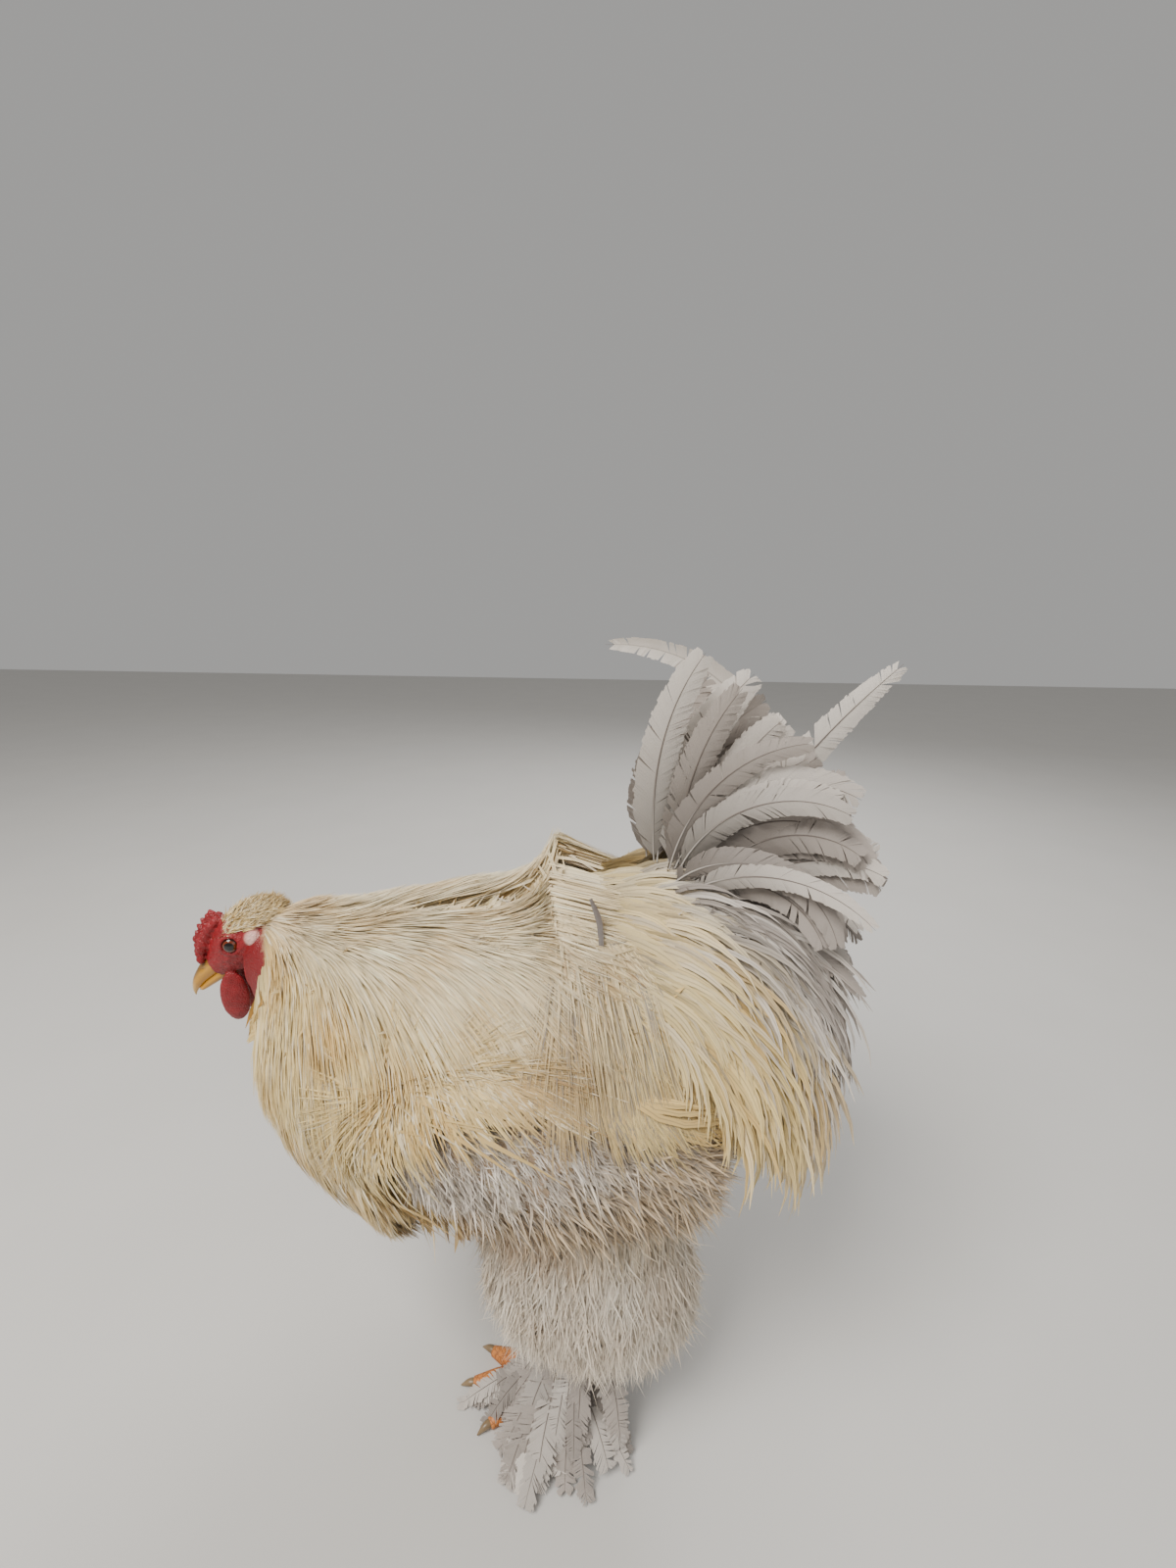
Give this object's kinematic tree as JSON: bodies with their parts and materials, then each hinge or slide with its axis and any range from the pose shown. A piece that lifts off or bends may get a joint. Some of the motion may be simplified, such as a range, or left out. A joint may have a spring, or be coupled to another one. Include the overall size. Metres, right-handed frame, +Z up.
{
  "type": "brahma chicken",
  "caption": "Large cock with a pea comb, a full cape of hackles, a long saddle, a high curled tail and feathered feet, standing with its head low.",
  "frame": {"origin": "on the floor, under the middle of the bird's bounding box", "axes": "the bird faces -X, its left side is towards -Y, +Z is up"},
  "size_m": [0.5306, 0.3058, 0.602],
  "materials": {
    "straw": "straw and cream hackle feathers with a soft gloss",
    "cream": "soft cream body feathers",
    "lavender": "lavender grey feathers with dark shafts",
    "comb_red": "red bare skin, pebbled",
    "lobe_pink": "pinkish white bare skin",
    "horn": "yellow horn with a dark streak",
    "shank_yellow": "orange yellow scaled skin",
    "claw_horn": "brown horn",
    "iris": "wet orange brown eye"
  },
  "bodies": {
    "root": {"beak_upper": "horn", "beak_lower": "horn", "head": "comb_red", "comb": "comb_red", "eye_left": "iris", "wattle_left": "comb_red", "earlobe_left": "lobe_pink", "eye_right": "iris", "wattle_right": "comb_red", "earlobe_right": "lobe_pink", "neck": "straw", "torso": "cream", "rump": "straw", "tail": "lavender", "wing_left": "cream", "thigh_left": "cream", "shank_left": "lavender", "foot_left": "shank_yellow", "claw_inner_left": "claw_horn", "claw_middle_left": "claw_horn", "claw_outer_left": "claw_horn", "claw_hind_left": "claw_horn", "wing_right": "cream", "thigh_right": "cream", "shank_right": "lavender", "foot_right": "shank_yellow", "claw_inner_right": "claw_horn", "claw_middle_right": "claw_horn", "claw_outer_right": "claw_horn", "claw_hind_right": "claw_horn"}
  },
  "joints": []
}
